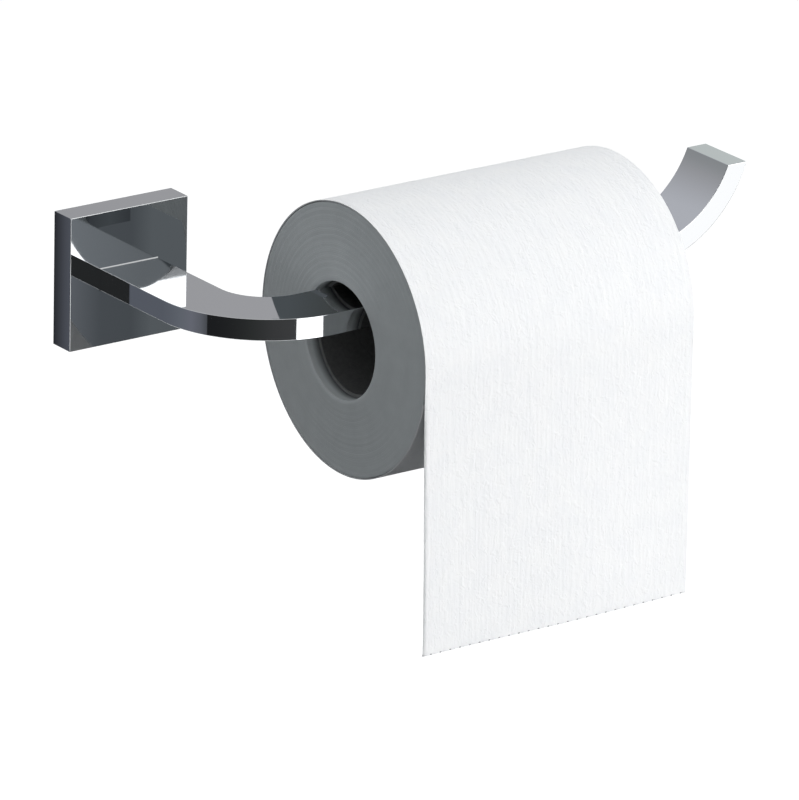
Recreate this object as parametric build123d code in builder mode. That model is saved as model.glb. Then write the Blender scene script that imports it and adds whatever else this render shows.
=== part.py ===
from build123d import *
import os
from math import acos, degrees, sqrt

# Wall-mounted toilet paper holder with a roll on it, in millimetres.
# The wall is the plane Y = 0, the room is on its -Y side, X runs along the wall and Z is up.
# The origin is the centre of the square plate on the wall.

# Square plate, a cup that is open towards the wall
PLATE_SIDE = 50.0
PLATE_DEPTH = 10.5
PLATE_WALL = 2.5
PLATE_FRONT = 3.0
PLATE_EDGE = 0.2
CAVITY_CORNER = 1.5

# Flat bar: out of the plate, sideways through the roll and up at its free end
ARM_WIDTH = 24.5
ARM_THICKNESS = 8.0
ARM_REACH = 81.5
BEND_RADIUS = 30.5
ELBOW_GAP = 13.2
TIP_GAP = 5.5
TIP_RADIUS = 40.0
TIP_RISE = 25.0
ARM_EDGE = 0.2
JOINT_BEAD = 0.3

# Paper roll on its cardboard tube
ROLL_LENGTH = 117.6
ROLL_DIAMETER = 99.2
CORE_BORE = 40.8
CORE_WALL = 1.1
CORE_SETBACK = 4.0
CORE_FIT = 0.05
HANG_GAP = 0.3
SHEET_THICKNESS = 0.4
SHEET_GAP = 0.3
TAIL_LENGTH = 103.2
WEB_GAP = 0.1
NIP_MARGIN = 4.0

# Wall bracket with an undercut upper and lower edge, and the plate's hook behind it
BRACKET_WIDTH = 34.0
BRACKET_ROOM = 4.5
BRACKET_GAP = 1.5
BRACKET_UNDERCUT = 3.0
HOOK_WIDTH = 24.0
HOOK_DEPTH = 3.6
HOOK_SETBACK = 0.3
HOOK_FIT = 0.2

# Screws
SCREW_RADIUS = 2.0
SCREW_HEAD_RADIUS = 3.75
SCREW_FIT = 0.25
THREAD_FIT = 0.03
SOCKET_WIDTH = 2.5
SOCKET_DEPTH = 1.2
ARM_SCREW_EDGE = 5.25
ARM_SCREW_LENGTH = 12.0
ARM_SCREW_RUNOUT = 1.0
WALL_SCREW_EDGE = 7.0
WALL_SCREW_LENGTH = 30.0
WALL_SCREW_POINT = 3.5
WALL_SCREW_TIP = 0.4
WALL_SCREW_NECK = 1.7
SET_SCREW_RECESS = 0.4
SET_SCREW_POINT = 1.2
SET_SCREW_TIP = 0.6
SET_SCREW_FIT = 0.05
SET_BOSS_WIDTH = 9.0
SET_BOSS_HEIGHT = 1.2

# Places that follow from the sizes
cavity_side = PLATE_SIDE - 2 * PLATE_WALL
cavity_depth = PLATE_DEPTH - PLATE_FRONT
roll_start = BEND_RADIUS + ELBOW_GAP
run_end = roll_start + ROLL_LENGTH + TIP_GAP
bend_start = ARM_REACH - BEND_RADIUS
half_width = ARM_WIDTH / 2
half_thickness = ARM_THICKNESS / 2
core_radius = CORE_BORE / 2
core_outer_radius = core_radius + CORE_WALL
# the tube hangs on the two upper edges of the bar
roll_z = half_thickness - sqrt((core_radius - HANG_GAP) ** 2 - half_width**2)
roll_radius = ROLL_DIAMETER / 2
sheet_inner_radius = roll_radius + SHEET_GAP
sheet_outer_radius = sheet_inner_radius + SHEET_THICKNESS
bracket_height = cavity_side - 2 * BRACKET_ROOM
bracket_thickness = cavity_depth - BRACKET_GAP
wall_screw_z = bracket_height / 2 - WALL_SCREW_EDGE
arm_screw_x = half_width - ARM_SCREW_EDGE
head_height = SCREW_HEAD_RADIUS - SCREW_RADIUS
set_screw_y = -bracket_thickness / 2
roll_plane = Plane.YZ.offset(roll_start)
roll_centre = (-ARM_REACH, roll_z)


def undercut_z(y):
    """Height of the bracket's upper undercut face at depth y; the lower face mirrors it."""
    return bracket_height / 2 - BRACKET_UNDERCUT * (1 + y / bracket_thickness)


def screw_socket(plane, depth):
    """Cut a hexagon socket into the part being built, from the given plane inwards."""
    with BuildSketch(plane) as socket:
        RegularPolygon(SOCKET_WIDTH / 2, 6, major_radius=False)
    extrude(socket.sketch, amount=-depth, mode=Mode.SUBTRACT)


# Square plate: cavity, hook behind the bracket's upper edge, boss and hole for the set screw
with BuildPart() as base_plate:
    with BuildSketch(Plane.XZ):
        Rectangle(PLATE_SIDE, PLATE_SIDE)
    extrude(amount=PLATE_DEPTH)
    fillet(base_plate.edges().filter_by(lambda edge: edge.center().Y < 0), PLATE_EDGE)
    with BuildSketch(Plane.XZ):
        RectangleRounded(cavity_side, cavity_side, CAVITY_CORNER)
    extrude(amount=cavity_depth, mode=Mode.SUBTRACT)
    with BuildSketch(Plane.YZ.offset(-HOOK_WIDTH / 2)):
        hook_low = -HOOK_SETBACK
        hook_deep = -HOOK_SETBACK - HOOK_DEPTH
        with BuildLine():
            Polyline(
                (hook_low, cavity_side / 2),
                (hook_low, undercut_z(hook_low) + HOOK_FIT),
                (hook_deep, undercut_z(hook_deep) + HOOK_FIT),
                (hook_deep, cavity_side / 2),
                close=True,
            )
        make_face()
    extrude(amount=HOOK_WIDTH)
    with BuildSketch(Plane.XY.offset(-cavity_side / 2)):
        with Locations((0, set_screw_y)):
            Rectangle(SET_BOSS_WIDTH, bracket_thickness - 2 * HOOK_SETBACK)
    extrude(amount=SET_BOSS_HEIGHT)
    with BuildSketch(Plane.XY.offset(-PLATE_SIDE / 2)):
        with Locations((0, set_screw_y)):
            Circle(SCREW_RADIUS + THREAD_FIT)
    extrude(amount=PLATE_WALL + SET_BOSS_HEIGHT, mode=Mode.SUBTRACT)
    for side in (-1, 1):
        inside = Plane(origin=(side * arm_screw_x, -cavity_depth, 0), z_dir=(0, 1, 0))
        with Locations(inside):
            CounterSinkHole(
                SCREW_RADIUS + SCREW_FIT,
                SCREW_HEAD_RADIUS + SCREW_FIT,
                counter_sink_angle=90,
            )
base_plate.part.label = "base_plate"
export_step(base_plate.part, "parts/base_plate.step")

# Bar: its plan with the sideways bend, then the curl of its free end with a level cut
with BuildPart() as arm:
    with BuildSketch(Plane.XY.offset(-half_thickness)):
        with BuildLine():
            outer_stem = Line((-half_width, -PLATE_DEPTH), (-half_width, -bend_start))
            outer_bend = JernArc(outer_stem @ 1, (0, -1), BEND_RADIUS + half_width, 90)
            front = Line(outer_bend @ 1, (run_end, -ARM_REACH - half_width))
            run_cut = Line(front @ 1, (run_end, -ARM_REACH + half_width))
            back = Line(run_cut @ 1, (BEND_RADIUS, -ARM_REACH + half_width))
            inner_bend = JernArc(back @ 1, (-1, 0), BEND_RADIUS - half_width, -90)
            inner_stem = Line(inner_bend @ 1, (half_width, -PLATE_DEPTH))
            Line(inner_stem @ 1, outer_stem @ 0)
        make_face()
    extrude(amount=ARM_THICKNESS)
    with BuildSketch(Plane.XZ.offset(ARM_REACH - half_width)):
        with BuildLine():
            concave_turn = degrees(acos(1 - TIP_RISE / TIP_RADIUS))
            convex_turn = degrees(acos((TIP_RADIUS - TIP_RISE) / (TIP_RADIUS + ARM_THICKNESS)))
            concave = JernArc((run_end, half_thickness), (1, 0), TIP_RADIUS, concave_turn)
            convex = JernArc(
                (run_end, -half_thickness), (1, 0), TIP_RADIUS + ARM_THICKNESS, convex_turn
            )
            Line(concave @ 0, convex @ 0)
            Line(concave @ 1, convex @ 1)
        make_face()
    extrude(amount=ARM_WIDTH)
    plate_end = arm.edges().filter_by(lambda edge: abs(edge.center().Y + PLATE_DEPTH) < ARM_EDGE)
    bend_seams = arm.edges().filter_by(Axis.Z)
    at_tip = arm.edges().filter_by_position(Axis.X, run_end - ARM_EDGE, run_end + ARM_EDGE)
    tip_seams = at_tip.filter_by(Axis.Y)
    smooth = plate_end + bend_seams + tip_seams
    fillet([edge for edge in arm.edges() if edge not in smooth], ARM_EDGE)
    # fine bead round the joint with the plate, at 45 degrees
    with BuildSketch(Plane.XZ.offset(PLATE_DEPTH)):
        Rectangle(ARM_WIDTH + 2 * JOINT_BEAD, ARM_THICKNESS + 2 * JOINT_BEAD)
    extrude(amount=1.5 * JOINT_BEAD, taper=45)
    with BuildSketch(Plane.XZ.offset(PLATE_DEPTH)):
        with GridLocations(2 * arm_screw_x, 1, 2, 1):
            Circle(SCREW_RADIUS + THREAD_FIT)
    extrude(amount=ARM_SCREW_LENGTH - PLATE_FRONT + ARM_SCREW_RUNOUT, mode=Mode.SUBTRACT)
arm.part.label = "arm"
export_step(arm.part, "parts/arm.step")

# Two countersunk screws that hold the bar from inside the plate
with BuildPart() as arm_screws:
    with BuildSketch(Plane.XY):
        with BuildLine():
            Polyline(
                (arm_screw_x, -cavity_depth),
                (arm_screw_x + SCREW_HEAD_RADIUS, -cavity_depth),
                (arm_screw_x + SCREW_RADIUS, -cavity_depth - head_height),
                (arm_screw_x + SCREW_RADIUS, -cavity_depth - ARM_SCREW_LENGTH),
                (arm_screw_x, -cavity_depth - ARM_SCREW_LENGTH),
                close=True,
            )
        make_face()
    revolve(axis=Axis((arm_screw_x, 0, 0), (0, 1, 0)))
    screw_socket(Plane((arm_screw_x, -cavity_depth, 0), z_dir=(0, 1, 0)), SOCKET_DEPTH)
    mirror(about=Plane.YZ)
arm_screws.part.label = "arm_screws"
export_step(arm_screws.part, "parts/arm_screws.step")

# Wall bracket: a bar whose upper and lower faces lean back under its front face
with BuildPart() as wall_bracket:
    with BuildSketch(Plane.YZ.offset(-BRACKET_WIDTH / 2)):
        with BuildLine():
            Polyline(
                (0, undercut_z(0)),
                (-bracket_thickness, bracket_height / 2),
                (-bracket_thickness, -bracket_height / 2),
                (0, -undercut_z(0)),
                close=True,
            )
        make_face()
    extrude(amount=BRACKET_WIDTH)
    for side in (-1, 1):
        front_face = Plane(origin=(0, -bracket_thickness, side * wall_screw_z), z_dir=(0, -1, 0))
        with Locations(front_face):
            CounterSinkHole(
                SCREW_RADIUS + SCREW_FIT,
                SCREW_HEAD_RADIUS + SCREW_FIT,
                counter_sink_angle=90,
            )
wall_bracket.part.label = "wall_bracket"
export_step(wall_bracket.part, "parts/wall_bracket.step")

# Two countersunk screws through the bracket; the thread starts at the wall's face
with BuildPart() as wall_screws:
    wall_screw_end = WALL_SCREW_LENGTH - bracket_thickness
    neck_start = SCREW_HEAD_RADIUS - WALL_SCREW_NECK - bracket_thickness
    with BuildSketch(Plane.YZ):
        with BuildLine():
            Polyline(
                (-bracket_thickness, wall_screw_z),
                (-bracket_thickness, wall_screw_z + SCREW_HEAD_RADIUS),
                (neck_start, wall_screw_z + WALL_SCREW_NECK),
                (0, wall_screw_z + WALL_SCREW_NECK),
                (0, wall_screw_z + SCREW_RADIUS),
                (wall_screw_end - WALL_SCREW_POINT, wall_screw_z + SCREW_RADIUS),
                (wall_screw_end, wall_screw_z + WALL_SCREW_TIP),
                (wall_screw_end, wall_screw_z),
                close=True,
            )
        make_face()
    revolve(axis=Axis((0, 0, wall_screw_z), (0, 1, 0)))
    screw_socket(Plane((0, -bracket_thickness, wall_screw_z), z_dir=(0, -1, 0)), SOCKET_DEPTH)
    mirror(about=Plane.XY)
wall_screws.part.label = "wall_screws"
export_step(wall_screws.part, "parts/wall_screws.step")

# Socket set screw in the plate's underside, its point against the bracket's lower undercut
with BuildPart() as set_screw:
    set_screw_low = -PLATE_SIDE / 2 + SET_SCREW_RECESS
    set_screw_high = -undercut_z(set_screw_y - SET_SCREW_TIP) - SET_SCREW_FIT
    with BuildSketch(Plane.YZ):
        with BuildLine():
            Polyline(
                (set_screw_y, set_screw_low),
                (set_screw_y + SCREW_RADIUS, set_screw_low),
                (set_screw_y + SCREW_RADIUS, set_screw_high - SET_SCREW_POINT),
                (set_screw_y + SET_SCREW_TIP, set_screw_high),
                (set_screw_y, set_screw_high),
                close=True,
            )
        make_face()
    revolve(axis=Axis((0, set_screw_y, 0), (0, 0, 1)))
    screw_socket(Plane((0, set_screw_y, set_screw_low), z_dir=(0, 0, -1)), 2 * SOCKET_DEPTH)
set_screw.part.label = "set_screw"
export_step(set_screw.part, "parts/set_screw.step")

# Cardboard tube that hangs on the bar, a little shorter than the paper on it
with BuildPart() as cardboard_core:
    with BuildSketch(roll_plane.offset(CORE_SETBACK)):
        with Locations(roll_centre):
            Circle(core_outer_radius)
            Circle(core_radius, mode=Mode.SUBTRACT)
    extrude(amount=ROLL_LENGTH - 2 * CORE_SETBACK)
cardboard_core.part.label = "cardboard_core"
export_step(cardboard_core.part, "parts/cardboard_core.step")

# Wound tissue on the tube
with BuildPart() as paper_roll:
    with BuildSketch(roll_plane):
        with Locations(roll_centre):
            Circle(roll_radius)
            Circle(core_outer_radius + CORE_FIT, mode=Mode.SUBTRACT)
    extrude(amount=ROLL_LENGTH)
paper_roll.part.label = "paper_roll"
export_step(paper_roll.part, "parts/paper_roll.step")

# Outermost turn of the tissue: it leaves the roll at the front, level with the roll's axis,
# and stops short of the hanging sheet where it comes round again from below
with BuildPart() as outer_sheet:
    nip_turn = degrees(acos(sheet_inner_radius / sheet_outer_radius)) + NIP_MARGIN
    with BuildSketch(roll_plane):
        with BuildLine():
            inside_start = (-ARM_REACH - sheet_inner_radius, roll_z)
            outside_start = (-ARM_REACH - sheet_outer_radius, roll_z)
            turn_inside = JernArc(inside_start, (0, 1), sheet_inner_radius, nip_turn - 360)
            turn_outside = JernArc(outside_start, (0, 1), sheet_outer_radius, nip_turn - 360)
            Line(turn_inside @ 0, turn_outside @ 0)
            Line(turn_inside @ 1, turn_outside @ 1)
        make_face()
    extrude(amount=ROLL_LENGTH)
outer_sheet.part.label = "outer_sheet"
export_step(outer_sheet.part, "parts/outer_sheet.step")

# Sheet that hangs straight down from the front of the roll
with BuildPart() as tail_sheet:
    with BuildSketch(roll_plane):
        with Locations((-ARM_REACH - sheet_inner_radius, roll_z - WEB_GAP)):
            Rectangle(SHEET_THICKNESS, TAIL_LENGTH - WEB_GAP, align=(Align.MAX, Align.MAX))
    extrude(amount=ROLL_LENGTH)
tail_sheet.part.label = "tail_sheet"
export_step(tail_sheet.part, "parts/tail_sheet.step")
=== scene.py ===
import math

import bpy
import numpy as np
from mathutils import Matrix, Vector


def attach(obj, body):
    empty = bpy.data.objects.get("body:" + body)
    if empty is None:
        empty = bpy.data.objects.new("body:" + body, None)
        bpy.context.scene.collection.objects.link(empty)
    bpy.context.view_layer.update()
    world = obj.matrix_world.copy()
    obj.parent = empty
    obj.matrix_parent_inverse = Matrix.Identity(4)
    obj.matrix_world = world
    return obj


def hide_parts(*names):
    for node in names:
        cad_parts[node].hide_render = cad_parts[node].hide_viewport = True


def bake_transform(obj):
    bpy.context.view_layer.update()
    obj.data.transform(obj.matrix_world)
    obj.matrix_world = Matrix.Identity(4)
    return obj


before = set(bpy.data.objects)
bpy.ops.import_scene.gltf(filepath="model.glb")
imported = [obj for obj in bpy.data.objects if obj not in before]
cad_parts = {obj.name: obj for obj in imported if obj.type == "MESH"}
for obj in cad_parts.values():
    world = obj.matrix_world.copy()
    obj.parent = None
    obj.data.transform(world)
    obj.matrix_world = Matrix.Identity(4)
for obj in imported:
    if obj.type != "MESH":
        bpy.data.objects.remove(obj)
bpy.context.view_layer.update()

# Wall bracket, set screw and the two screws that hold the bar: zinc-plated steel parts under the
# square plate. The bracket is a rolled bar with undercut edges, the screws have hexagon sockets.
ZINC_PALE = (0.58, 0.585, 0.60, 1)
ZINC_DULL = (0.42, 0.43, 0.45, 1)
NOISE_LOW = 0.3
NOISE_HIGH = 0.7


def start_material(name, **sockets):
    """A material whose one Principled shader has these plain values on its own sockets."""
    material = bpy.data.materials.new(name)
    material.use_nodes = True
    shader = material.node_tree.nodes["Principled BSDF"]
    for socket, value in sockets.items():
        shader.inputs[socket.replace("_", " ")].default_value = value
    return material, shader


def add_node(material, kind, **settings):
    """A new node with its properties, and its input sockets by their names, set."""
    node = material.node_tree.nodes.new(kind)
    for name, value in settings.items():
        if hasattr(node, name):
            setattr(node, name, value)
        else:
            node.inputs[name.replace("_", " ")].default_value = value
    return node


def wire(material, *pairs):
    """Link outputs to inputs, each pair given as (socket, socket)."""
    for source, target in pairs:
        material.node_tree.links.new(source, target)


def shade_between(material, factor, low, high):
    """A colour ramp from low to high, driven by a noise."""
    ramp = add_node(material, "ShaderNodeValToRGB")
    ramp.color_ramp.elements[0].position = NOISE_LOW
    ramp.color_ramp.elements[0].color = low
    ramp.color_ramp.elements[1].position = NOISE_HIGH
    ramp.color_ramp.elements[1].color = high
    wire(material, (factor, ramp.inputs["Fac"]))
    return ramp.outputs["Color"]


def range_between(material, factor, low, high):
    """A number from low to high, driven by a noise."""
    stretch = add_node(
        material,
        "ShaderNodeMapRange",
        From_Min=NOISE_LOW,
        From_Max=NOISE_HIGH,
        To_Min=low,
        To_Max=high,
    )
    wire(material, (factor, stretch.inputs["Value"]))
    return stretch.outputs["Result"]


def relief(material, shader, height, distance, strength):
    """A bump of that depth in metres on the shader's normal."""
    bump = add_node(material, "ShaderNodeBump", Distance=distance, Strength=strength)
    wire(
        material,
        (height, bump.inputs["Height"]),
        (bump.outputs["Normal"], shader.inputs["Normal"]),
    )


def zinc_plating():
    material, shader = start_material("zinc_plated_steel", Metallic=1.0)
    place = add_node(material, "ShaderNodeTexCoord")
    rolled = add_node(material, "ShaderNodeMapping")
    rolled.inputs["Scale"].default_value = (60, 900, 900)
    crystals = add_node(material, "ShaderNodeTexNoise", Scale=700.0, Detail=4.0)
    marks = add_node(material, "ShaderNodeTexNoise", Scale=1.0, Detail=3.0)
    shade = shade_between(material, crystals.outputs["Fac"], ZINC_DULL, ZINC_PALE)
    wear = range_between(material, marks.outputs["Fac"], low=0.26, high=0.44)
    wire(
        material,
        (place.outputs["Object"], rolled.inputs["Vector"]),
        (place.outputs["Object"], crystals.inputs["Vector"]),
        (rolled.outputs["Vector"], marks.inputs["Vector"]),
        (shade, shader.inputs["Base Color"]),
        (wear, shader.inputs["Roughness"]),
    )
    relief(material, shader, marks.outputs["Fac"], distance=0.00008, strength=0.5)
    return material


def dress(node, material):
    """Give a CAD node its finish."""
    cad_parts[node].material_slots[0].material = material


zinc = zinc_plating()
for steel_part in ("wall_bracket", "set_screw", "arm_screws"):
    dress(steel_part, zinc)

# Wall screws: 4 x 30 mm countersunk steel screws with a hexagon socket. Turned from wire, with a
# coarse thread rolled from the wall's face to the point; they pass through the bracket.
SCREW_HEAD_Y = -0.006
SCREW_POINT_Y = 0.024
SCREW_TAPER_Y = 0.0195
SCREW_CREST = 0.002
SCREW_ROOT = 0.00138
SCREW_NECK = 0.0017
SCREW_HEAD = 0.00375
SCREW_PITCH = 0.0018
SCREW_SEGMENTS = 24
SCREW_RINGS = 134
SCREW_RIDGE_SHARE = 0.3
SCREW_BLUNT_SHARE = 0.1
SCREW_HALF_SPACING = 0.011
SOCKET_HALF = 0.00125
SOCKET_ROOM = 1.1
SOCKET_DEPTH = 0.0012
FACING = 0.9


def only(piece):
    """Deselect all and make this piece the one that the operators act on."""
    bpy.ops.object.select_all(action="DESELECT")
    piece.select_set(True)
    bpy.context.view_layer.objects.active = piece


def pick_faces(piece, wanted):
    """Select the faces for which wanted(centre, normal) is true; starts and ends in edit mode."""
    bpy.ops.mesh.select_all(action="DESELECT")
    bpy.ops.object.mode_set(mode="OBJECT")
    for face in piece.data.polygons:
        face.select = bool(wanted(face.center, face.normal))
    bpy.ops.object.mode_set(mode="EDIT")


def settle(piece):
    """Bring a piece to the origin, unturned and unscaled, with its place in its mesh."""
    only(piece)
    bpy.ops.object.transform_apply(location=True, rotation=True, scale=True)


def thread_radius(y, turn):
    """Radius of the screw at depth y, where turn is the angle round it as a share of a full turn."""
    if y < SCREW_HEAD_Y + SCREW_HEAD - SCREW_NECK:
        return SCREW_HEAD - (y - SCREW_HEAD_Y)
    if y < 0:
        return SCREW_NECK
    phase = (y / SCREW_PITCH - turn) % 1
    ridge = max(0, 1 - abs(phase - 0.5) / SCREW_RIDGE_SHARE)
    taper = (SCREW_POINT_Y - y) / (SCREW_POINT_Y - SCREW_TAPER_Y)
    taper = min(1, max(SCREW_BLUNT_SHARE, taper))
    run_in = min(1, y / SCREW_PITCH)
    return (SCREW_ROOT + (SCREW_CREST - SCREW_ROOT) * ridge * run_in) * taper


def wall_screw(name, z):
    length = SCREW_POINT_Y - SCREW_HEAD_Y
    bpy.ops.mesh.primitive_cylinder_add(
        vertices=SCREW_SEGMENTS,
        radius=SCREW_HEAD,
        depth=length,
        location=(0, SCREW_HEAD_Y + length / 2, z),
        rotation=(math.pi / 2, 0, 0),
    )
    screw = bpy.context.object
    screw.name = screw.data.name = name
    settle(screw)
    bpy.ops.object.mode_set(mode="EDIT")
    bpy.ops.mesh.select_all(action="DESELECT")
    bpy.ops.object.mode_set(mode="OBJECT")
    points = screw.data.vertices
    for edge in screw.data.edges:
        ends = [points[i].co.y for i in edge.vertices]
        edge.select = abs(ends[0] - ends[1]) > length / 2
    bpy.ops.object.mode_set(mode="EDIT")
    bpy.ops.mesh.subdivide(number_cuts=SCREW_RINGS - 1)
    pick_faces(screw, lambda centre, normal: normal.y < -FACING)
    bpy.ops.mesh.inset(thickness=SCREW_HEAD - SOCKET_ROOM * SOCKET_HALF)
    bpy.ops.mesh.extrude_region_move(TRANSFORM_OT_translate={"value": (0, SOCKET_DEPTH, 0)})
    bpy.ops.object.mode_set(mode="OBJECT")
    for point in screw.data.vertices:
        x, dz = point.co.x, point.co.z - z
        angle = math.atan2(dz, x)
        if math.hypot(x, dz) > SCREW_HEAD - 1e-6:
            radius = thread_radius(point.co.y, angle / math.tau)
        else:
            radius = SOCKET_HALF / math.cos((angle + math.pi / 6) % (math.pi / 3) - math.pi / 6)
        point.co.x, point.co.z = radius * math.cos(angle), z + radius * math.sin(angle)
    bpy.ops.object.shade_smooth_by_angle(angle=math.radians(50))
    screw.data.materials.append(zinc)
    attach(screw, "holder")
    return screw


upper_screw = wall_screw("wall_screw_upper", SCREW_HALF_SPACING)
wall_screw("wall_screw_lower", -SCREW_HALF_SPACING)
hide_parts("wall_screws")

# Square plate and bar: cast and drawn brass, polished and chrome plated. The bar is one flat length,
# bent sideways on its edge and curled up at its free end, and screwed on from inside the plate.
CHROME = (0.56, 0.57, 0.58, 1)


def polished_chrome():
    material, shader = start_material("polished_chrome_plate", Metallic=1.0, Base_Color=CHROME)
    place = add_node(material, "ShaderNodeTexCoord")
    haze = add_node(material, "ShaderNodeTexNoise", Scale=45.0, Detail=3.0)
    ripple = add_node(material, "ShaderNodeTexNoise", Scale=30.0, Detail=1.0)
    polish = range_between(material, haze.outputs["Fac"], low=0.015, high=0.05)
    wire(
        material,
        (place.outputs["Object"], haze.inputs["Vector"]),
        (place.outputs["Object"], ripple.inputs["Vector"]),
        (polish, shader.inputs["Roughness"]),
    )
    relief(material, shader, ripple.outputs["Fac"], distance=0.0001, strength=0.12)
    return material


chrome = polished_chrome()
for chrome_part in ("base_plate", "arm"):
    dress(chrome_part, chrome)

# Cardboard tube: grey board wound in a spiral from two plies and glued, so that a seam runs round
# the inside. The tissue is wound on it, and it hangs on the bar's two upper edges.
ROLL_START_X = 0.0437
ROLL_END_X = 0.1613
ROLL_MIDDLE_X = (ROLL_START_X + ROLL_END_X) / 2
ROLL_AXIS_Y = -0.0815
ROLL_AXIS_Z = -0.0119357
# The board's greys are darker than grey board is. They are partly its own tone and partly painted
# shade for the inside of the tube. The cut ends keep a paler grey.
BOARD_PALE_WITH_SHADE = (0.18, 0.178, 0.176, 1)
BOARD_DARK_WITH_SHADE = (0.12, 0.118, 0.117, 1)
BOARD_CUT = (0.30, 0.30, 0.295, 1)
BOARD_SETBACK = 0.004
BOARD_SEAM_LEAD = 0.062
BOARD_SEAM_WIDTH = 0.012
BOARD_CUT_START = 0.0004
BOARD_CUT_FULL = 0.0001


def maths(material, operation, second=None):
    """A Math node, with a plain number on its second input where one is given."""
    node = add_node(material, "ShaderNodeMath", operation=operation)
    if second is not None:
        node.inputs[1].default_value = second
    return node


def grey_board():
    material, shader = start_material("grey_board", Roughness=0.85)
    place = add_node(material, "ShaderNodeTexCoord")
    centre = add_node(material, "ShaderNodeMapping")
    centre.inputs["Location"].default_value = (-ROLL_START_X, -ROLL_AXIS_Y, -ROLL_AXIS_Z)
    split = add_node(material, "ShaderNodeSeparateXYZ")
    angle = maths(material, "ARCTAN2")
    turn = maths(material, "DIVIDE", math.tau)
    along = maths(material, "DIVIDE", BOARD_SEAM_LEAD)
    spiral = maths(material, "SUBTRACT")
    seam = maths(material, "PINGPONG", 0.5)
    line = add_node(material, "ShaderNodeMapRange", From_Min=0.0, From_Max=BOARD_SEAM_WIDTH)
    fibres = add_node(material, "ShaderNodeTexNoise", Scale=900.0, Detail=5.0, Roughness=0.7)
    shade = shade_between(material, fibres.outputs["Fac"], BOARD_DARK_WITH_SHADE, BOARD_PALE_WITH_SHADE)
    rise = maths(material, "ADD")
    # the cut at each end is paler than the faces
    half_length = (ROLL_END_X - ROLL_START_X) / 2 - BOARD_SETBACK
    from_middle = maths(material, "SUBTRACT", half_length + BOARD_SETBACK)
    reach = maths(material, "ABSOLUTE")
    cut_end = add_node(
        material,
        "ShaderNodeMapRange",
        From_Min=half_length - BOARD_CUT_START,
        From_Max=half_length - BOARD_CUT_FULL,
    )
    tint = add_node(material, "ShaderNodeMix", data_type="RGBA")
    tint.inputs["B"].default_value = BOARD_CUT
    wire(
        material,
        (place.outputs["Object"], centre.inputs["Vector"]),
        (split.outputs["X"], from_middle.inputs[0]),
        (from_middle.outputs[0], reach.inputs[0]),
        (reach.outputs[0], cut_end.inputs["Value"]),
        (cut_end.outputs["Result"], tint.inputs["Factor"]),
        (centre.outputs["Vector"], split.inputs["Vector"]),
        (centre.outputs["Vector"], fibres.inputs["Vector"]),
        (split.outputs["Y"], angle.inputs[0]),
        (split.outputs["Z"], angle.inputs[1]),
        (angle.outputs[0], turn.inputs[0]),
        (split.outputs["X"], along.inputs[0]),
        (along.outputs[0], spiral.inputs[0]),
        (turn.outputs[0], spiral.inputs[1]),
        (spiral.outputs[0], seam.inputs[0]),
        (seam.outputs[0], line.inputs["Value"]),
        (line.outputs["Result"], rise.inputs[0]),
        (fibres.outputs["Fac"], rise.inputs[1]),
        (shade, tint.inputs["A"]),
        (tint.outputs["Result"], shader.inputs["Base Color"]),
    )
    relief(material, shader, rise.outputs[0], distance=0.0002, strength=0.6)
    return material


dress("cardboard_core", grey_board())

# Wound tissue: some two hundred turns of two-ply paper, wound on the tube and cut to width with it.
# Its cut ends show the turns as fine rings, a little uneven from the winding, and at the left end
# the inner turns stand a little proud.
TISSUE_RADIUS = 0.0496
TISSUE_BORE = 0.02155
TISSUE_SEGMENTS = 160
TISSUE_RINGS = 36
TISSUE_UNEVEN = 0.0003
TISSUE_RIM_SINK = 0.0004
TISSUE_RIM_RINGS = 1.5
TISSUE_BULGE = 0.0018
TISSUE_END_PALE = (0.91, 0.945, 0.95, 1)
TISSUE_END_DARK = (0.825, 0.86, 0.865, 1)
# Painted shade: the paper lining the hole turns grey the deeper it lies in it.
TISSUE_BORE_SHADE = (0.20, 0.205, 0.21, 1)
TURN_THICKNESS = 0.00024
BORE_SHADE_START = 0.0008
BORE_SHADE_DEPTH = 0.0036
BORE_SHADE_THICKNESS = 0.0006
BORE_SHADE_FULL = 0.0001


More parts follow.
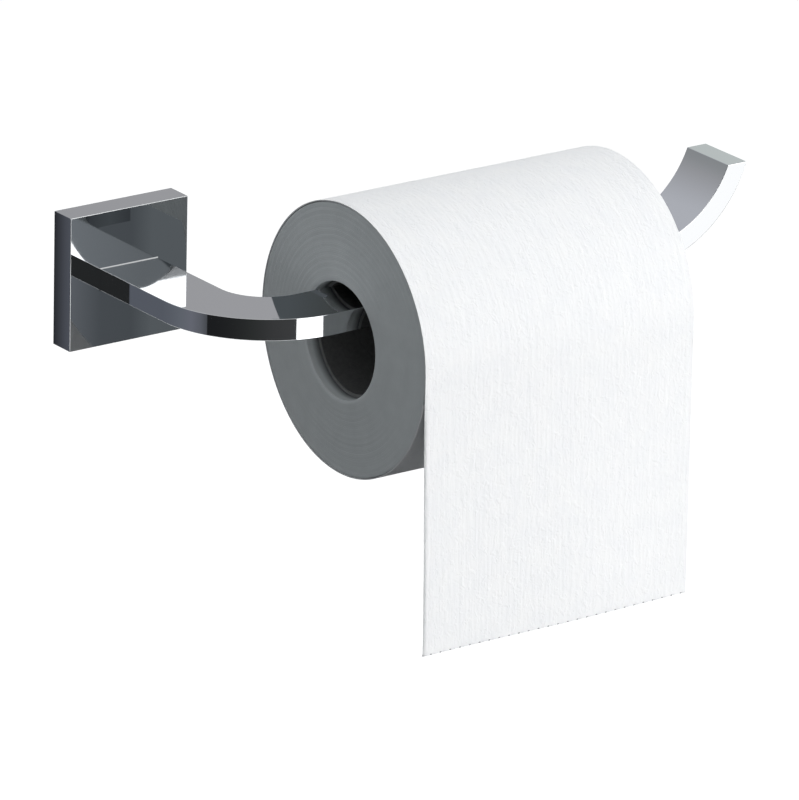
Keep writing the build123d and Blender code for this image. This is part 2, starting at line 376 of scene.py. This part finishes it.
def cut_tissue():
    material, shader = start_material("cut_tissue_turns", Roughness=0.95, Specular_IOR_Level=0.1)
    place = add_node(material, "ShaderNodeTexCoord")
    centre = add_node(material, "ShaderNodeMapping")
    centre.inputs["Location"].default_value = (0, -ROLL_AXIS_Y, -ROLL_AXIS_Z)
    flat = add_node(material, "ShaderNodeVectorMath", operation="MULTIPLY")
    flat.inputs[1].default_value = (0, 1, 1)
    radius = add_node(material, "ShaderNodeVectorMath", operation="LENGTH")
    count = maths(material, "DIVIDE", TURN_THICKNESS)
    turns = add_node(material, "ShaderNodeTexNoise", noise_dimensions="1D", Scale=1.0, Detail=2.0)
    fluff = add_node(material, "ShaderNodeTexNoise", Scale=160.0, Detail=5.0)
    both = maths(material, "ADD")
    half = maths(material, "MULTIPLY", 0.5)
    shade = shade_between(material, half.outputs[0], TISSUE_END_DARK, TISSUE_END_PALE)
    # the paper lining the hole is painted greyer the deeper it lies, as painted shade inside the hole
    split = add_node(material, "ShaderNodeSeparateXYZ")
    from_middle = maths(material, "SUBTRACT", ROLL_MIDDLE_X)
    reach = maths(material, "ABSOLUTE")
    deep = add_node(
        material,
        "ShaderNodeMapRange",
        From_Min=ROLL_END_X - ROLL_MIDDLE_X - BORE_SHADE_START,
        From_Max=ROLL_END_X - ROLL_MIDDLE_X - BORE_SHADE_DEPTH,
    )
    inmost = add_node(
        material,
        "ShaderNodeMapRange",
        From_Min=TISSUE_BORE + BORE_SHADE_THICKNESS,
        From_Max=TISSUE_BORE + BORE_SHADE_FULL,
    )
    bore_shade = maths(material, "MULTIPLY")
    tint = add_node(material, "ShaderNodeMix", data_type="RGBA")
    tint.inputs["B"].default_value = TISSUE_BORE_SHADE
    wire(
        material,
        (place.outputs["Object"], centre.inputs["Vector"]),
        (centre.outputs["Vector"], flat.inputs[0]),
        (flat.outputs["Vector"], radius.inputs[0]),
        (radius.outputs["Value"], count.inputs[0]),
        (count.outputs[0], turns.inputs["W"]),
        (place.outputs["Object"], fluff.inputs["Vector"]),
        (turns.outputs["Fac"], both.inputs[0]),
        (fluff.outputs["Fac"], both.inputs[1]),
        (both.outputs[0], half.inputs[0]),
        (place.outputs["Object"], split.inputs["Vector"]),
        (split.outputs["X"], from_middle.inputs[0]),
        (from_middle.outputs[0], reach.inputs[0]),
        (reach.outputs[0], deep.inputs["Value"]),
        (radius.outputs["Value"], inmost.inputs["Value"]),
        (deep.outputs["Result"], bore_shade.inputs[0]),
        (inmost.outputs["Result"], bore_shade.inputs[1]),
        (bore_shade.outputs[0], tint.inputs["Factor"]),
        (shade, tint.inputs["A"]),
        (tint.outputs["Result"], shader.inputs["Base Color"]),
    )
    relief(material, shader, both.outputs[0], distance=0.0002, strength=0.5)
    return material


def inmost_discs(centre, normal):
    """True for the two faces inside the innermost ring."""
    out = math.hypot(centre.y - ROLL_AXIS_Y, centre.z - ROLL_AXIS_Z)
    return abs(normal.x) > FACING and out < TISSUE_BORE / 2


bpy.ops.mesh.primitive_cylinder_add(
    vertices=TISSUE_SEGMENTS,
    radius=TISSUE_RADIUS,
    depth=ROLL_END_X - ROLL_START_X,
    location=(ROLL_MIDDLE_X, ROLL_AXIS_Y, ROLL_AXIS_Z),
    rotation=(0, math.pi / 2, 0),
)
wound_tissue = bpy.context.object
wound_tissue.name = wound_tissue.data.name = "wound_tissue"
settle(wound_tissue)
bpy.ops.object.mode_set(mode="EDIT")
ring_step = (TISSUE_RADIUS - TISSUE_BORE) * math.cos(math.pi / TISSUE_SEGMENTS) / TISSUE_RINGS
for side in (-1, 1):
    pick_faces(wound_tissue, lambda centre, normal: normal.x * side > FACING)
    for ring in range(TISSUE_RINGS):
        bpy.ops.mesh.inset(thickness=ring_step)
pick_faces(wound_tissue, inmost_discs)
bpy.ops.mesh.bridge_edge_loops()
bpy.ops.object.mode_set(mode="OBJECT")
for point in wound_tissue.data.vertices:
    y, z = point.co.y - ROLL_AXIS_Y, point.co.z - ROLL_AXIS_Z
    ring = (math.hypot(y, z) - TISSUE_BORE) / ring_step
    angle = math.atan2(z, y)
    # a slow and a quick wave over the turns, and one round the roll
    wave = 0.5 + 0.22 * math.sin(2.1 * ring) + 0.16 * math.sin(3.7 * ring + 1)
    wave += 0.12 * math.sin(angle + 0.3 * ring)
    depth = TISSUE_UNEVEN * wave + TISSUE_RIM_SINK * max(0, 1 - ring / TISSUE_RIM_RINGS) ** 2
    if point.co.x < ROLL_MIDDLE_X:
        point.co.x += depth - TISSUE_BULGE * (1 - ring / TISSUE_RINGS)
    else:
        point.co.x -= depth
only(wound_tissue)
bpy.ops.object.shade_smooth_by_angle(angle=math.radians(40))
wound_tissue.data.materials.append(cut_tissue())
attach(wound_tissue, "roll")
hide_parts("paper_roll")

# Outermost turn and hanging sheet: one strip of soft white two-ply tissue, creped across its width.
# It lies on the roll, comes over the top and hangs down in front to its perforated tear edge.
STRIP_RADIUS = 0.0501
STRIP_THICKNESS = 0.0004
STRIP_COLUMNS = 192
STRIP_STEP = 0.0017
STRIP_SWELL = 0.0012
TAIL_LOW_Z = -0.1151357
TAIL_SWING_LEFT = 0.0026
TAIL_SWING_LESS = 0.0017
TAIL_RIPPLE = 0.0004
STRIP_END = math.pi * STRIP_RADIUS + ROLL_AXIS_Z - TAIL_LOW_Z
NIP_TURN = math.radians(11.2)
LEFT_EDGE_CURL = 0.0005
LEFT_EDGE_COLUMNS = 1.5
TEAR_PITCH = 0.0043
TEAR_PITCH_COLUMNS = 7
TEAR_NIB_COLUMNS = 2
TEAR_FINE_HEIGHT = 0.0015
TEAR_FINE_ROWS = 4
TEAR_BAND = 0.0012
TEAR_NIB_BEND = 0.0004
TEAR_LIFT = 0.0002
# Grey dots painted along the tear edge stand for shade in the perforation.
TEAR_DOT_UP = 0.0003
TEAR_DOT_OUTER = 0.0007
TEAR_DOT_INNER = 0.0003
TEAR_SHADE_GREY = (0.36, 0.36, 0.37, 1)
CREPE_WEIGHT = 1.3
STROKE_WEIGHT = 0.55
TISSUE_WHITE = (0.935, 0.937, 0.94, 1)
TISSUE_SHADE = (0.915, 0.92, 0.93, 1)


def flat_noise(material, **settings):
    """Noise over the strip laid flat."""
    return add_node(material, "ShaderNodeTexNoise", noise_dimensions="2D", **settings)


def soft_step(material, start, full):
    """A step from 0 to 1 that is soft at both ends."""
    return add_node(
        material,
        "ShaderNodeMapRange",
        interpolation_type="SMOOTHSTEP",
        From_Min=start,
        From_Max=full,
    )


def soft_tissue():
    """Creped paper with short embossed strokes, on a UV map in metres across and along it."""
    material, shader = start_material(
        "soft_tissue", Roughness=0.95, Specular_IOR_Level=0.1, Sheen_Weight=0.05
    )
    strip = add_node(material, "ShaderNodeUVMap", uv_map="strip")
    crepe_scale = add_node(material, "ShaderNodeMapping")
    crepe_scale.inputs["Scale"].default_value = (620, 60, 1)
    crepe = flat_noise(material, Scale=1.0, Detail=4.0)
    mottle = flat_noise(material, Scale=330.0, Detail=4.0, Distortion=1.2)
    cloud = flat_noise(material, Scale=110.0, Detail=3.0)
    stroke_scale = add_node(material, "ShaderNodeMapping")
    stroke_scale.inputs["Scale"].default_value = (300, 190, 1)
    wander = flat_noise(material, Scale=1.0, Detail=1.5, Distortion=0.8)
    from_half = maths(material, "SUBTRACT", 0.5)
    near = maths(material, "ABSOLUTE")
    stroke = soft_step(material, start=0.13, full=0.02)
    patch = flat_noise(material, Scale=420.0, Detail=1.0)
    some = soft_step(material, start=0.52, full=0.60)
    chosen = maths(material, "MULTIPLY")
    lines = maths(material, "MULTIPLY_ADD", CREPE_WEIGHT)
    rise = maths(material, "MULTIPLY_ADD", STROKE_WEIGHT)
    wire(
        material,
        (strip.outputs["UV"], crepe_scale.inputs["Vector"]),
        (crepe_scale.outputs["Vector"], crepe.inputs["Vector"]),
        (strip.outputs["UV"], mottle.inputs["Vector"]),
        (strip.outputs["UV"], cloud.inputs["Vector"]),
        (strip.outputs["UV"], stroke_scale.inputs["Vector"]),
        (stroke_scale.outputs["Vector"], wander.inputs["Vector"]),
        (wander.outputs["Fac"], from_half.inputs[0]),
        (from_half.outputs[0], near.inputs[0]),
        (near.outputs[0], stroke.inputs["Value"]),
        (strip.outputs["UV"], patch.inputs["Vector"]),
        (patch.outputs["Fac"], some.inputs["Value"]),
        (some.outputs["Result"], chosen.inputs[0]),
        (stroke.outputs["Result"], chosen.inputs[1]),
        (crepe.outputs["Fac"], lines.inputs[0]),
        (mottle.outputs["Fac"], lines.inputs[2]),
        (chosen.outputs[0], rise.inputs[0]),
        (lines.outputs[0], rise.inputs[2]),
    )
    paper = shade_between(material, cloud.outputs["Fac"], TISSUE_SHADE, TISSUE_WHITE)
    # small grey dots are painted along the tear edge, as painted shade in the slits and torn bridges
    # of the perforation
    split = add_node(material, "ShaderNodeSeparateXYZ")
    across = maths(material, "PINGPONG", TEAR_PITCH / 2)
    from_edge = maths(material, "SUBTRACT")
    from_edge.inputs[0].default_value = STRIP_END - TEAR_DOT_UP
    spot = add_node(material, "ShaderNodeCombineXYZ")
    away = add_node(material, "ShaderNodeVectorMath", operation="LENGTH")
    dot = soft_step(material, start=TEAR_DOT_OUTER, full=TEAR_DOT_INNER)
    tint = add_node(material, "ShaderNodeMix", data_type="RGBA")
    tint.inputs["B"].default_value = TEAR_SHADE_GREY
    wire(
        material,
        (strip.outputs["UV"], split.inputs["Vector"]),
        (split.outputs["X"], across.inputs[0]),
        (split.outputs["Y"], from_edge.inputs[1]),
        (across.outputs[0], spot.inputs["X"]),
        (from_edge.outputs[0], spot.inputs["Y"]),
        (spot.outputs["Vector"], away.inputs[0]),
        (away.outputs["Value"], dot.inputs["Value"]),
        (dot.outputs["Result"], tint.inputs["Factor"]),
        (paper, tint.inputs["A"]),
        (tint.outputs["Result"], shader.inputs["Base Color"]),
    )
    relief(material, shader, rise.outputs[0], distance=0.0003, strength=0.42)
    return material


def tissue_strip(name, stations, shape):
    """A strip across the roll's width: stations are (y, z, length so far), shape bends each point."""
    across = np.linspace(ROLL_START_X, ROLL_END_X, STRIP_COLUMNS + 1)
    points, corners = [], []
    for y, z, travelled in stations:
        for column, x in enumerate(across):
            points.append(shape(column, x, y, z, travelled))
            corners.append((x, travelled))
    wide = STRIP_COLUMNS + 1
    faces = [
        (r * wide + c, r * wide + c + 1, (r + 1) * wide + c + 1, (r + 1) * wide + c)
        for r in range(len(stations) - 1)
        for c in range(STRIP_COLUMNS)
    ]
    mesh = bpy.data.meshes.new(name)
    mesh.from_pydata(points, [], faces)
    uv = mesh.uv_layers.new(name="strip")
    spread = np.array([corners[i] for face in faces for i in face], np.float32)
    uv.data.foreach_set("uv", spread.ravel())
    strip = bpy.data.objects.new(name, mesh)
    bpy.context.collection.objects.link(strip)
    only(strip)
    bpy.ops.object.shade_smooth()
    ply = strip.modifiers.new("plies", "SOLIDIFY")
    ply.thickness = STRIP_THICKNESS
    ply.offset = 0
    bpy.ops.object.modifier_apply(modifier=ply.name)
    bpy.ops.object.mode_set(mode="EDIT")
    bpy.ops.mesh.select_all(action="SELECT")
    bpy.ops.mesh.normals_make_consistent(inside=False)
    bpy.ops.object.mode_set(mode="OBJECT")
    bpy.ops.object.shade_smooth_by_angle(angle=math.radians(50))
    return strip


def round_the_roll(first, last):
    """Stations along the outermost turn between two angles; 0 is the front, a right angle the top."""
    count = max(2, round(abs(last - first) * STRIP_RADIUS / STRIP_STEP))
    return [
        (
            ROLL_AXIS_Y - STRIP_RADIUS * math.cos(a),
            ROLL_AXIS_Z + STRIP_RADIUS * math.sin(a),
            (math.pi - a) * STRIP_RADIUS,
        )
        for a in np.linspace(first, last, count + 1)
    ]


def lying_on_roll(column, x, y, z, travelled):
    """A point of the wound part, which swells and sinks a little."""
    swell = 1 + STRIP_SWELL * math.sin(90 * x + 70 * travelled) * math.sin(55 * travelled)
    return (x, ROLL_AXIS_Y + (y - ROLL_AXIS_Y) * swell, ROLL_AXIS_Z + (z - ROLL_AXIS_Z) * swell)


def hanging(column, x, y, z, travelled):
    """A point of the sheet, which swings out below the axis and curls at its left and lower edges."""
    if z >= ROLL_AXIS_Z:
        return lying_on_roll(column, x, y, z, travelled)
    down = (ROLL_AXIS_Z - z) / (ROLL_AXIS_Z - TAIL_LOW_Z)
    over = (x - ROLL_START_X) / (ROLL_END_X - ROLL_START_X)
    ease = down * down * (3 - 2 * down)
    swing = -(TAIL_SWING_LEFT - TAIL_SWING_LESS * over) * ease
    ripple = TAIL_RIPPLE * ease * math.sin(2.2 * math.pi * over + 0.6)
    nib = (column % TEAR_PITCH_COLUMNS) < TEAR_NIB_COLUMNS
    curl = max(0, 1 - (z - TAIL_LOW_Z) / TEAR_BAND)
    tear = TEAR_NIB_BEND * curl if nib else 0.0
    lift = TEAR_LIFT * curl * (1 if nib else 2)
    edge = LEFT_EDGE_CURL * max(0, 1 - column / LEFT_EDGE_COLUMNS) * min(1, 6 * down)
    return (x + 0.7 * edge, y + swing + ripple + tear + edge, z + lift)


tissue = soft_tissue()
over_top = round_the_roll(math.pi, 0)
front_y, front_z, front_travelled = over_top[-1]
tail_length = ROLL_AXIS_Z - TAIL_LOW_Z
plain_length = tail_length - TEAR_FINE_HEIGHT
plain_rows = round(plain_length / STRIP_STEP)
tail_drops = list(np.linspace(0, plain_length, plain_rows + 1)[1:])
tail_drops += list(np.linspace(plain_length, tail_length, TEAR_FINE_ROWS + 1)[1:])
down_front = [(front_y, front_z - d, front_travelled + d) for d in tail_drops]
hanging_sheet = tissue_strip("hanging_sheet", over_top + down_front, hanging)
hanging_sheet.data.materials.append(tissue)
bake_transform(hanging_sheet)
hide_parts("tail_sheet")

under_roll = round_the_roll(math.tau - NIP_TURN, math.pi)
under_turn = tissue_strip("under_turn", under_roll, lying_on_roll)
under_turn.data.materials.append(tissue)
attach(under_turn, "wrap")
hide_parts("outer_sheet")

# Studio floor: a plain white sweep well under the longest sheet. It is white to the camera and in
# the chrome, and takes the object's shadow.
FLOOR_Z = -0.65
FLOOR_GLOW = 0.82
FLOOR_PALE = (0.45, 0.45, 0.45, 1)


def background_rays(material):
    """1 for rays from the camera, mirrored rays and rays through glass, and 0 for the rest."""
    seen = add_node(material, "ShaderNodeLightPath")
    mirrored = maths(material, "MAXIMUM")
    through = maths(material, "MAXIMUM")
    wire(
        material,
        (seen.outputs["Is Camera Ray"], mirrored.inputs[0]),
        (seen.outputs["Is Glossy Ray"], mirrored.inputs[1]),
        (mirrored.outputs[0], through.inputs[0]),
        (seen.outputs["Is Transmission Ray"], through.inputs[1]),
    )
    return through.outputs[0]


bpy.ops.mesh.primitive_plane_add(size=40, location=(0, 0, FLOOR_Z))
floor = bpy.context.object
floor.name = floor.data.name = "studio_floor"
settle(floor)
sweep = bpy.data.materials.new("white_sweep")
sweep.use_nodes = True
sweep.node_tree.nodes.clear()
glow_level = maths(sweep, "MULTIPLY", FLOOR_GLOW)
glow = add_node(sweep, "ShaderNodeEmission")
matt = add_node(sweep, "ShaderNodeBsdfDiffuse", Color=FLOOR_PALE)
sum_up = add_node(sweep, "ShaderNodeAddShader")
surface = add_node(sweep, "ShaderNodeOutputMaterial")
wire(
    sweep,
    (background_rays(sweep), glow_level.inputs[0]),
    (glow_level.outputs[0], glow.inputs["Strength"]),
    (glow.outputs[0], sum_up.inputs[0]),
    (matt.outputs[0], sum_up.inputs[1]),
    (sum_up.outputs[0], surface.inputs["Surface"]),
)
floor.data.materials.append(sweep)
floor.visible_diffuse = False

# Studio cards: dark, grey and white ones in a ring round the bend, a strip beside the plate, one on
# the floor and three before the roll's left end give the chrome something to mirror. The strip is
# painted with a wall's shadow beside the plate, and the three before the roll's left end with the
# shaded tones of that end, as painted reflections of it. Only mirrored rays meet them.
CARD_MIDDLE = Vector((0.0, -0.07, 0.0))
CARD_DISTANCE = 1.2
CARD_LOW_Z = -0.64
CARD_HIGH_Z = 1.5
DARK_TONE = (0.02, 0.02, 0.021)


def card_paint(name, axis, stops, glow=1.0):
    """A card's own tone, which changes along one axis; stops are (place, colour) in rising order."""
    first, last = stops[0][0], stops[-1][0]
    paint = bpy.data.materials.new(name + "_paint")
    paint.use_nodes = True
    paint.node_tree.nodes.clear()
    place = add_node(paint, "ShaderNodeTexCoord")
    split = add_node(paint, "ShaderNodeSeparateXYZ")
    reach = add_node(paint, "ShaderNodeMapRange", From_Min=first, From_Max=last)
    ramp = add_node(paint, "ShaderNodeValToRGB")
    steps = ramp.color_ramp.elements
    for _ in stops[2:]:
        steps.new(0.5)
    for step, (where, colour) in zip(steps, stops):
        step.position = (where - first) / (last - first)
        step.color = (*colour, 1)
    paper = add_node(paint, "ShaderNodeEmission", Strength=glow)
    out = add_node(paint, "ShaderNodeOutputMaterial")
    wire(
        paint,
        (place.outputs["Object"], split.inputs["Vector"]),
        (split.outputs[axis], reach.inputs["Value"]),
        (reach.outputs["Result"], ramp.inputs["Fac"]),
        (ramp.outputs["Color"], paper.inputs["Color"]),
        (paper.outputs[0], out.inputs["Surface"]),
    )
    return paint


def mirrored_only(card, paint):
    """Finish a card of the studio, which shows in the chrome and nowhere else."""
    card.data.materials.append(paint)
    card.visible_camera = False
    card.visible_diffuse = False
    card.visible_transmission = False
    card.visible_shadow = False


def ring_card(name, turns, axis, stops, low=CARD_LOW_Z, high=CARD_HIGH_Z, glow=1.0):
    """A curved card between two turns, in degrees round from the front towards the left."""
    first, last = turns
    bpy.ops.mesh.primitive_cylinder_add(
        vertices=360,
        radius=CARD_DISTANCE,
        depth=high - low,
        end_fill_type="NOTHING",
        location=CARD_MIDDLE + Vector((0, 0, (low + high) / 2)),
    )
    card = bpy.context.object
    card.name = card.data.name = name
    settle(card)

    def outside(centre, normal):
        x, y = centre.x - CARD_MIDDLE.x, centre.y - CARD_MIDDLE.y
        return (math.degrees(math.atan2(-x, -y)) - first) % 360 > last - first

    bpy.ops.object.mode_set(mode="EDIT")
    pick_faces(card, outside)
    bpy.ops.mesh.delete(type="FACE")
    bpy.ops.object.mode_set(mode="OBJECT")
    mirrored_only(card, card_paint(name, axis, stops, glow))


ring_card(
    "black_card",
    (2, 90),
    "X",
    [
        (-1.2, (0.020, 0.021, 0.023)),
        (-0.85, (0.042, 0.045, 0.045)),
        (-0.5, (0.066, 0.067, 0.069)),
        (-0.05, (0.078, 0.079, 0.081)),
    ],
)
ring_card(
    "blue_grey_card",
    (90, 185),
    "Y",
    [
        (-0.07, (0.11, 0.118, 0.132)),
        (0.08, (0.175, 0.185, 0.215)),
        (0.30, (0.222, 0.232, 0.277)),
        (0.55, (0.195, 0.213, 0.250)),
        (0.95, (0.15, 0.164, 0.199)),
        (1.13, (0.15, 0.164, 0.199)),
    ],
    high=0,
)
ring_card(
    "left_grey_card",
    (90, 208),
    "Z",
    [
        (0.0, (0.20, 0.21, 0.24)),
        (0.30, (0.38, 0.40, 0.41)),
        (0.55, (0.50, 0.505, 0.53)),
        (1.03, (0.70, 0.715, 0.77)),
        (1.5, (0.80, 0.81, 0.85)),
    ],
    low=0,
)
ring_card(
    "back_grey_card",
    (208, 240),
    "X",
    [
        (0.56, (0.47, 0.47, 0.49)),
        (0.70, (0.51, 0.51, 0.53)),
        (0.863, (0.74, 0.79, 0.78)),
        (1.04, (0.95, 0.96, 0.96)),
    ],
)

FRONT_TONES = [
    (-0.05, (0.10, 0.10, 0.105)),
    (0.15, (0.34, 0.345, 0.35)),
    (0.6, (0.80, 0.81, 0.82)),
]
ring_card("front_grey_card", (330, 362), "X", FRONT_TONES, low=-0.27, high=0.24)
WHITE_LOW_Z = -0.41
WHITE_HIGH_Z = -0.26
WHITE_GLOW = 1.72
WHITE_TONES = [(WHITE_LOW_Z, (1, 1, 1)), (WHITE_HIGH_Z, (1, 1, 1))]
ring_card("white_card", (308, 328), "Z", WHITE_TONES, WHITE_LOW_Z, WHITE_HIGH_Z, WHITE_GLOW)
LOW_TONES = [(CARD_LOW_Z, DARK_TONE), (WHITE_LOW_Z, DARK_TONE)]
ring_card("low_dark_card", (285, 326), "Z", LOW_TONES, high=WHITE_LOW_Z)
RIGHT_TONES = [(-0.6, (0.04, 0.04, 0.042)), (1.4, (0.12, 0.12, 0.125))]
ring_card("right_grey_card", (240, 282), "Z", RIGHT_TONES)


def flat_card(name, width, height, place, tilt, stops):
    """A flat card, tilted up from the floor, with its tone changing across its width."""
    bpy.ops.mesh.primitive_plane_add(size=1)
    card = bpy.context.object
    card.name = card.data.name = name
    card.scale = (width, height, 1)
    card.rotation_euler = (tilt, 0, 0)
    card.location = place
    settle(card)
    mirrored_only(card, card_paint(name, "X", stops))


# Painted shadow: dark next to the plate's left side and paler away from it, as a wall beside the
# plate would be shaded.
WALL_SHADOW_TONES = [
    (-0.035, (0.13, 0.14, 0.17)),
    (-0.0325, (0.105, 0.112, 0.136)),
    (-0.0275, (0.030, 0.033, 0.038)),
]
flat_card("wall_shadow_card", 0.009, 0.12, (-0.0305, 0.004, -0.01), math.pi / 2, WALL_SHADOW_TONES)
FLOOR_TONES = [(0.3, (0.05, 0.05, 0.052)), (1.35, DARK_TONE)]
flat_card("floor_card", 1.05, 1.7, (0.825, 0.05, FLOOR_Z + 0.005), 0, FLOOR_TONES)

END_CARD_X = 0.040
MIDDLE_CARD_X = 0.04175


def end_shade_card(name, place, radius, cuts, stops, bore=0):
    """A round card at x and y before the roll's left end, cut by planes (point, normal), for painted
    reflections of that end's shaded tones.
    """
    bpy.ops.mesh.primitive_circle_add(
        vertices=128,
        radius=radius,
        fill_type="NGON",
        location=(*place, ROLL_AXIS_Z),
        rotation=(0, math.pi / 2, 0),
    )
    card = bpy.context.object
    card.name = card.data.name = name
    settle(card)
    bpy.ops.object.mode_set(mode="EDIT")
    if bore:
        bpy.ops.mesh.select_all(action="SELECT")
        bpy.ops.mesh.inset(thickness=radius - bore)
        bpy.ops.mesh.delete(type="FACE")
    for point, normal in cuts:
        bpy.ops.mesh.select_all(action="SELECT")
        bpy.ops.mesh.bisect(plane_co=point, plane_no=normal, clear_outer=True)
    bpy.ops.object.mode_set(mode="OBJECT")
    mirrored_only(card, card_paint(name, "Y", stops))


# The three end cards are painted with the shaded tones of the roll's left end, as painted reflections
# of it.
end_shade_card(
    "upper_end_card",
    place=(END_CARD_X, -0.0805),
    radius=0.0512,
    cuts=[((0, 0, 0.021), (0, 0, -1)), ((0, -0.046, 0.0219), (0, 0.265, -0.964))],
    stops=[(-0.11, (0.39, 0.42, 0.45)), (-0.06, (0.30, 0.325, 0.345))],
)
end_shade_card(
    "middle_end_card",
    place=(MIDDLE_CARD_X, ROLL_AXIS_Y),
    radius=0.0501,
    cuts=[
        ((0, 0, 0.0041), (0, 0, -1)),
        ((0, -0.062, 0.0055), (0, 0.399, -0.917)),
        ((0, -0.094, 0), (0, -1, 0)),
    ],
    stops=[(-0.08, (0.072, 0.080, 0.081)), (-0.05, (0.098, 0.112, 0.122))],
    bore=0.0210,
)
end_shade_card(
    "lower_end_card",
    place=(END_CARD_X, ROLL_AXIS_Y),
    radius=0.0490,
    cuts=[((0, 0, 0.0055), (0, 0, 1)), ((0, -0.075, 0.0055), (0, -0.64, 0.77))],
    stops=[
        (-0.106, (0.165, 0.18, 0.20)),
        (-0.088, (0.107, 0.119, 0.132)),
        (-0.068, (0.103, 0.115, 0.127)),
        (-0.055, (0.15, 0.167, 0.18)),
    ],
)

# Lamps: a large softbox at the front right, one above and behind and a weak one low behind that
# only light the paper, and a weak cool light from the room, most of it from above.
ROOM_LIGHT = (0.93, 0.97, 1.0, 1)
ROOM_ABOVE = 0.325
ROOM_BELOW = 0.06
ROOM_BLEND = 0.4


def softbox(name, place, away, width, height, power):
    """A lamp that shines from its place, with away pointing out of its back."""
    lamp = bpy.data.lights.new(name, "AREA")
    lamp.shape = "RECTANGLE"
    lamp.size = width
    lamp.size_y = height
    lamp.energy = power
    holder = bpy.data.objects.new(name, lamp)
    bpy.context.collection.objects.link(holder)
    holder.location = place
    holder.rotation_mode = "QUATERNION"
    holder.rotation_quaternion = Vector(away).to_track_quat("Z", "Y")
    holder.visible_camera = False
    return holder


softbox(
    "front_softbox",
    place=(0.65, -1.228, 0.165),
    away=(0.438, -0.899, 0),
    width=1.55,
    height=1.57,
    power=21.0,
)
top_softbox = softbox(
    "top_softbox",
    place=(0.64, 0.81, 1.54),
    away=(0.29, 0.48, 0.83),
    width=1.4,
    height=1.4,
    power=19,
)
top_softbox.visible_glossy = False
back_softbox = softbox(
    "back_softbox",
    place=(0.10, 0.95, -0.40),
    away=(0, 0.93, -0.36),
    width=0.8,
    height=0.4,
    power=1.1,
)
back_softbox.visible_glossy = False

world = bpy.context.scene.world or bpy.data.worlds.new("room")
bpy.context.scene.world = world
world.use_nodes = True
world.node_tree.nodes.clear()
towards = add_node(world, "ShaderNodeTexCoord")
split = add_node(world, "ShaderNodeSeparateXYZ")
level = add_node(
    world,
    "ShaderNodeMapRange",
    From_Min=-ROOM_BLEND,
    From_Max=ROOM_BLEND,
    To_Min=ROOM_BELOW,
    To_Max=ROOM_ABOVE,
)
backdrop = add_node(world, "ShaderNodeBackground", Color=(1, 1, 1, 1), Strength=1.0)
room = add_node(world, "ShaderNodeBackground", Color=ROOM_LIGHT)
choose = add_node(world, "ShaderNodeMixShader")
out = add_node(world, "ShaderNodeOutputWorld")
wire(
    world,
    (towards.outputs["Generated"], split.inputs["Vector"]),
    (split.outputs["Z"], level.inputs["Value"]),
    (level.outputs["Result"], room.inputs["Strength"]),
    (background_rays(world), choose.inputs[0]),
    (room.outputs[0], choose.inputs[1]),
    (backdrop.outputs[0], choose.inputs[2]),
    (choose.outputs[0], out.inputs["Surface"]),
)

# Camera: a long lens from the front left and a little above, turned slightly about its own axis.
# It shows the plate, the outside of the bend and the roll's left end.
CAMERA_AZIMUTH = math.radians(-35.84)
CAMERA_ELEVATION = math.radians(19.659)
CAMERA_ROLL = math.radians(1.34)
CAMERA_AIM = Vector((0.082718, -0.062487, -0.047579))
CAMERA_DISTANCE = 3.228853
CAMERA_LENS = 405.0
CAMERA_REACH = 100

back = Vector(
    (
        math.sin(CAMERA_AZIMUTH) * math.cos(CAMERA_ELEVATION),
        -math.cos(CAMERA_AZIMUTH) * math.cos(CAMERA_ELEVATION),
        math.sin(CAMERA_ELEVATION),
    )
)
sideways = Vector((math.cos(CAMERA_AZIMUTH), math.sin(CAMERA_AZIMUTH), 0))
upright = back.cross(sideways)
right = math.cos(CAMERA_ROLL) * sideways + math.sin(CAMERA_ROLL) * upright
up = back.cross(right)
eye = CAMERA_AIM + CAMERA_DISTANCE * back
camera_data = bpy.data.cameras.new("camera")
camera_data.lens = CAMERA_LENS
camera_data.clip_end = CAMERA_REACH
camera = bpy.data.objects.new("camera", camera_data)
bpy.context.collection.objects.link(camera)
rows = [[right[i], up[i], back[i], eye[i]] for i in range(3)]
camera.matrix_world = Matrix(rows + [[0, 0, 0, 1]])
bpy.context.scene.camera = camera
bpy.context.scene.view_settings.view_transform = "Standard"
